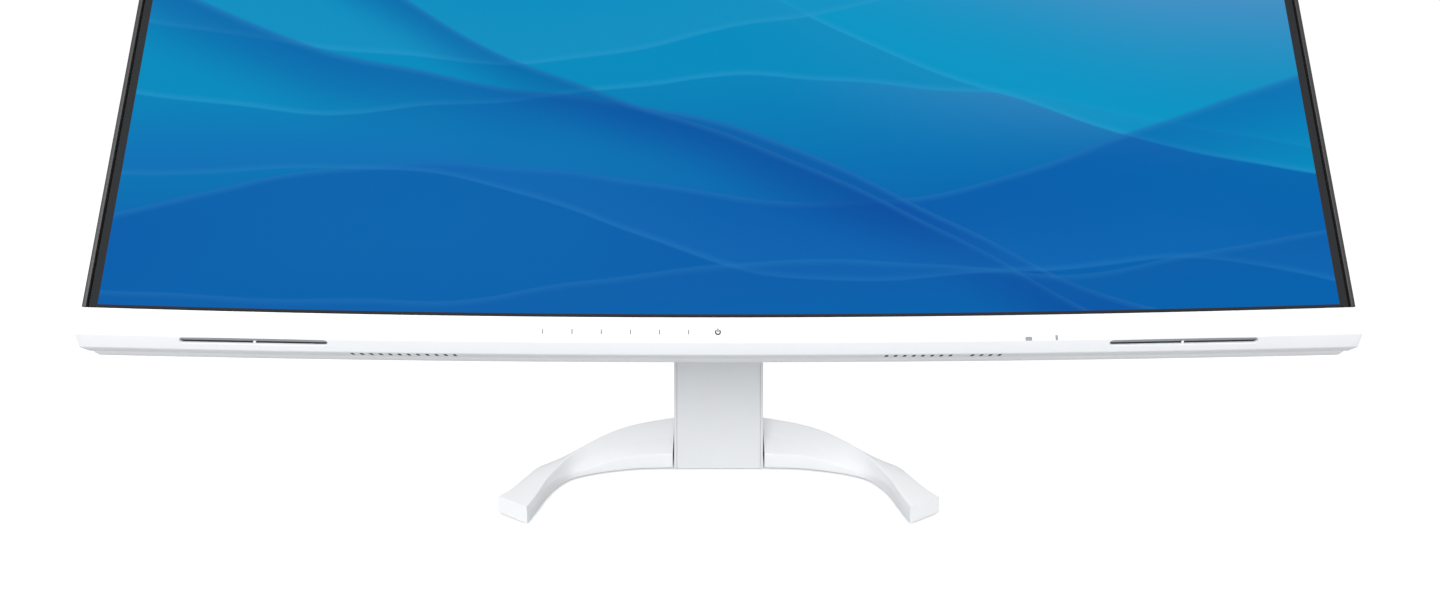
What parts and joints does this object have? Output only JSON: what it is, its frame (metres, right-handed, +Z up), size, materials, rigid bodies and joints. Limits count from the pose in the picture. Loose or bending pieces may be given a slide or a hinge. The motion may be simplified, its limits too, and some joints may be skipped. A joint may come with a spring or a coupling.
{
  "type": "curved monitor with built-in speakers",
  "caption": "Wide curved desktop monitor with a speaker behind each end of its white lower bezel, on a two-legged stand that lifts, swivels and tilts.",
  "frame": {"origin": "on the desk, at the centre of the column's foot", "axes": "+Z up, the screen faces -Y, +X to the viewer's right"},
  "size_m": [0.894, 0.3262, 0.5431],
  "materials": {
    "white_plastic": "fine satin moulded white",
    "white_metal": "satin white powder coat",
    "column_paint": "satin pale grey paint",
    "dark_plastic": "fine matte dark frame",
    "screen": "anti-glare panel with a lit picture of soft blue waves",
    "clear_acrylic": "light guide sheet",
    "zinc_steel": "zinc-plated pressed steel",
    "alloy_tray": "pressed alloy tray",
    "dark_grille": "dark perforated strip",
    "speaker_case": "moulded black case",
    "speaker_cone": "pressed pulp cone",
    "magnet": "sintered magnet",
    "circuit": "green solder mask",
    "socket_shell": "stamped socket shell",
    "black_plastic": "black nylon",
    "guide_polymer": "natural acetal",
    "rubber": "soft grey rubber",
    "sensor_glass": "smoked sensor window"
  },
  "bodies": {
    "stand": {"foot": "white_metal", "foot_plate": "zinc_steel", "foot_screws": "zinc_steel", "foot_pads": "rubber", "hub_pad": "rubber", "column_shell": "column_paint", "column_panel": "column_paint", "column_cap": "white_plastic", "column_block": "zinc_steel", "column_guides": "guide_polymer", "gas_spring_tube": "zinc_steel"},
    "riser": {"riser": "white_metal", "riser_guides": "guide_polymer", "riser_cap": "white_plastic", "gas_spring_rod": "zinc_steel", "neck": "white_metal"},
    "head": {"swivel_head": "zinc_steel", "swivel_pin": "zinc_steel", "swivel_clip": "zinc_steel", "swivel_washer": "guide_polymer", "tilt_pin": "zinc_steel", "tilt_nuts": "zinc_steel", "tilt_washers": "guide_polymer"},
    "display": {"chin": "white_plastic", "side_frame": "dark_plastic", "panel": "screen", "light_guide": "clear_acrylic", "tray": "alloy_tray", "rear_cover": "white_plastic", "mount_plate": "zinc_steel", "mount_bolts": "zinc_steel", "main_board": "circuit", "power_board": "circuit", "key_board": "circuit", "sensor_window": "sensor_glass", "display_socket": "socket_shell", "hdmi_sockets": "socket_shell", "usb_c_socket": "socket_shell", "usb_sockets": "socket_shell", "lan_socket": "socket_shell", "audio_socket": "black_plastic", "mains_inlet": "black_plastic", "tilt_arm": "zinc_steel", "speaker_case_left": "speaker_case", "speaker_basket_left": "zinc_steel", "speaker_magnet_left": "magnet", "speaker_grille_left": "dark_grille", "speaker_case_right": "speaker_case", "speaker_basket_right": "zinc_steel", "speaker_magnet_right": "magnet", "speaker_grille_right": "dark_grille"},
    "cone_left": {"speaker_cone_left": "speaker_cone"},
    "cone_right": {"speaker_cone_right": "speaker_cone"},
    "rocker": {"rocker_switch": "black_plastic"}
  },
  "joints": [
    {"name": "lift", "type": "slide", "parent": "stand", "child": "riser", "axis": [0, 0, 1], "range_m": [-0.0475, 0.0825]},
    {"name": "swivel", "type": "hinge", "parent": "riser", "child": "head", "pos_m": [0, -0.077, 0.3155], "axis": [0, 0, 1], "range_deg": [-35, 35]},
    {"name": "tilt", "type": "hinge", "parent": "head", "child": "display", "pos_m": [0, -0.077, 0.3155], "axis": [-1, 0, 0], "range_deg": [-24.4, 5.6]},
    {"name": "cone_left_travel", "type": "slide", "parent": "display", "child": "cone_left", "axis": [0.144, -0.9334, 0.3287], "range_m": [-0.0006, 0.0006], "stiffness_N_per_m": 1500},
    {"name": "cone_right_travel", "type": "slide", "parent": "display", "child": "cone_right", "axis": [-0.144, -0.9334, 0.3287], "range_m": [-0.0006, 0.0006], "stiffness_N_per_m": 1500},
    {"name": "mains_rocker", "type": "hinge", "parent": "display", "child": "rocker", "pos_m": [0.112, -0.15721, 0.18097], "axis": [1, 0, 0], "range_deg": [0, 14]}
  ]
}
